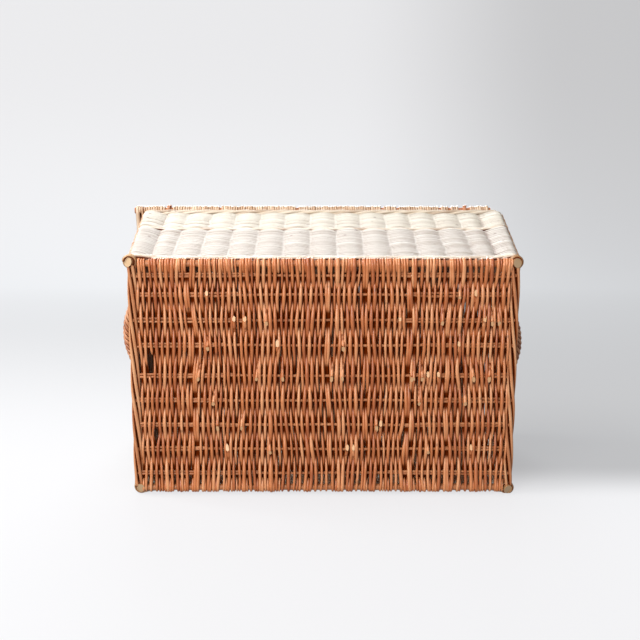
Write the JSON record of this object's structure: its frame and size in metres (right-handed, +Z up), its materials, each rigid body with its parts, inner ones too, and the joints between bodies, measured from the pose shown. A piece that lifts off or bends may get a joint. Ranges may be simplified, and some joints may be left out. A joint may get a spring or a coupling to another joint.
{
  "type": "lidded woven basket",
  "caption": "Rectangular woven willow hamper with slightly flared walls, a flat lid on rod hinges and a twisted rope handle on each short wall.",
  "frame": {"origin": "on the floor under the middle of the basket, at the ends of the corner posts", "axes": "+X along the long side to the right, +Y to the hinge wall at the back, +Z up"},
  "size_m": [0.623, 0.382, 0.3149],
  "materials": {
    "post_willow": "cut willow rod, smooth bark-free",
    "wale_willow": "woven willow rods, satin",
    "handle_willow": "twisted willow rods, satin",
    "hinge_willow": "bent willow rod, satin",
    "stick_willow": "straight willow rod, satin",
    "lid_willow": "woven willow rods, satin",
    "base_willow": "woven buff willow rods, satin",
    "wall_willow": "woven willow rods, satin"
  },
  "bodies": {
    "basket": {"corner_post_front_left": "post_willow", "corner_post_front_right": "post_willow", "corner_post_back_left": "post_willow", "corner_post_back_right": "post_willow", "base_edge_stick_front": "stick_willow", "base_edge_stick_back": "stick_willow", "base_stick_1": "stick_willow", "base_stick_2": "stick_willow", "base_stick_3": "stick_willow", "base_stick_4": "stick_willow", "base_stick_5": "stick_willow", "base_stick_6": "stick_willow", "base_stick_7": "stick_willow", "base_stick_8": "stick_willow", "base_stick_9": "stick_willow", "base_weave": "base_willow", "foot_wale_front": "wale_willow", "foot_wale_back": "wale_willow", "foot_wale_left": "wale_willow", "foot_wale_right": "wale_willow", "stakes_front": "stick_willow", "stakes_back": "stick_willow", "stakes_left": "stick_willow", "stakes_right": "stick_willow", "lower_weave_front": "wall_willow", "lower_weave_back": "wall_willow", "lower_weave_left": "wall_willow", "lower_weave_right": "wall_willow", "mid_wale_front": "wale_willow", "mid_wale_back": "wale_willow", "mid_wale_left": "wale_willow", "mid_wale_right": "wale_willow", "upper_weave_front": "wall_willow", "upper_weave_back": "wall_willow", "upper_weave_left": "wall_willow", "upper_weave_right": "wall_willow", "rim_border_front": "wale_willow", "rim_border_back": "wale_willow", "rim_border_left": "wale_willow", "rim_border_right": "wale_willow", "handle_core_left": "handle_willow", "handle_core_right": "handle_willow", "handle_twist_left": "handle_willow", "handle_twist_right": "handle_willow", "hinge_loop_left": "hinge_willow", "hinge_loop_right": "hinge_willow"},
    "lid": {"lid_edge_stick_front": "stick_willow", "lid_edge_stick_back": "stick_willow", "lid_stick_1": "stick_willow", "lid_stick_2": "stick_willow", "lid_stick_3": "stick_willow", "lid_stick_4": "stick_willow", "lid_stick_5": "stick_willow", "lid_stick_6": "stick_willow", "lid_stick_7": "stick_willow", "lid_stick_8": "stick_willow", "lid_stick_9": "stick_willow", "lid_weave": "lid_willow"}
  },
  "joints": [
    {"name": "lid_hinge", "type": "hinge", "parent": "basket", "child": "lid", "pos_m": [0.016, 0.184, 0.3057], "axis": [-1, 0, 0], "range_deg": [0, 105]}
  ]
}
